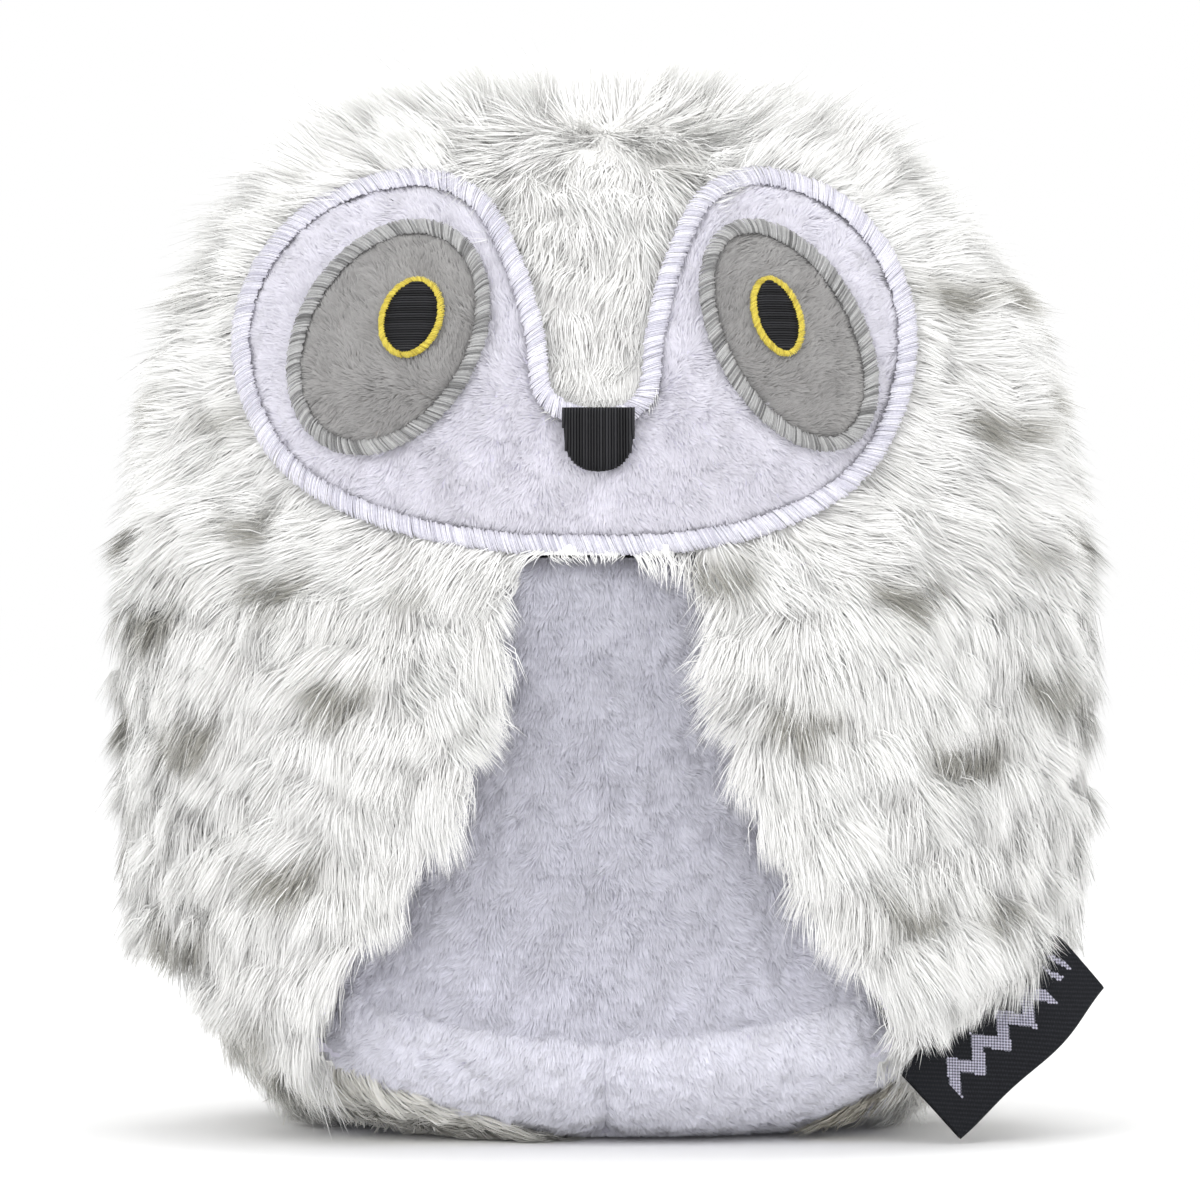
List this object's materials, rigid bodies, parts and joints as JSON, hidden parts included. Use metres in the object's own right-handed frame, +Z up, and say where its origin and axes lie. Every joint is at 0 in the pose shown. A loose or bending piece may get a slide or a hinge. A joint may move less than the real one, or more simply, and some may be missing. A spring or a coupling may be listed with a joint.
{
  "type": "plush owl pet toy",
  "caption": "Rounded long-fur plush owl with a stitched face disc, lined flap wings, a plain belly with an air squeaker behind it, a flat sewn base and a side label.",
  "frame": {"origin": "on the flat base, under the middle of the toy's box", "axes": "+Z up, -Y the way the face looks, +X to the right as seen from the front"},
  "size_m": [0.1548, 0.1186, 0.158],
  "materials": {
    "fur": "long white faux fur with grey-brown flecks",
    "lavender_plush": "short-pile lavender plush",
    "grey_plush": "short-pile grey plush",
    "lavender_thread": "satin stitch, silky",
    "grey_thread": "satin stitch, silky",
    "yellow_thread": "satin stitch, silky",
    "black_thread": "satin stitch, silky",
    "filling": "loose white polyester fibre",
    "felt": "plain non-woven felt",
    "film": "thin clear film",
    "squeaker_plastic": "soft translucent white plastic",
    "label_cloth": "black woven ribbon"
  },
  "bodies": {
    "toy_body": {"back_fur_left": "fur", "back_fur_right": "fur", "head_front_fur": "fur", "left_side_fur": "fur", "right_side_fur": "fur", "base_gusset_left": "lavender_plush", "base_gusset_right": "lavender_plush", "face_disc": "lavender_plush", "face_border": "lavender_thread", "face_backing": "felt", "left_eye_patch": "grey_plush", "right_eye_patch": "grey_plush", "left_eye_border": "grey_thread", "right_eye_border": "grey_thread", "left_iris_ring": "yellow_thread", "right_iris_ring": "yellow_thread", "left_pupil": "black_thread", "right_pupil": "black_thread", "beak": "black_thread", "head_filling": "filling", "body_filling": "filling", "squeaker_bellows": "squeaker_plastic", "squeaker_rear_plate": "squeaker_plastic", "reed_plug": "squeaker_plastic", "reed_seat": "squeaker_plastic", "reed_tongue": "film", "squeaker_pouch": "felt", "left_wing_seam_strip": "lavender_plush", "right_wing_seam_strip": "lavender_plush"},
    "belly_press": {"belly_panel": "lavender_plush", "belly_filling": "filling", "squeaker_front_plate": "squeaker_plastic"},
    "left_wing": {"left_wing_fur": "fur", "left_wing_film": "film", "left_wing_lining": "lavender_plush"},
    "right_wing": {"right_wing_fur": "fur", "right_wing_film": "film", "right_wing_lining": "lavender_plush"},
    "label": {"woven_label": "label_cloth"}
  },
  "joints": [
    {"name": "belly_squeeze", "type": "slide", "parent": "toy_body", "child": "belly_press", "axis": [0, 1, 0], "range_m": [0, 0.008], "stiffness_N_per_m": 400, "deforming": ["squeaker_bellows"]},
    {"name": "left_wing_lift", "type": "hinge", "parent": "toy_body", "child": "left_wing", "pos_m": [-0.0405, -0.0453, 0.086], "axis": [-0.7141, 0.7, 0], "range_deg": [0, 35], "stiffness_Nm_per_rad": 0.03},
    {"name": "right_wing_lift", "type": "hinge", "parent": "toy_body", "child": "right_wing", "pos_m": [0.0405, -0.0453, 0.086], "axis": [-0.7141, -0.7, 0], "range_deg": [0, 35], "stiffness_Nm_per_rad": 0.03},
    {"name": "label_flap", "type": "hinge", "parent": "right_wing", "child": "label", "pos_m": [0.0555, -0.0287, 0.0219], "axis": [0.6989, 0.256, 0.6679], "range_deg": [-30, 40], "stiffness_Nm_per_rad": 0.001}
  ]
}
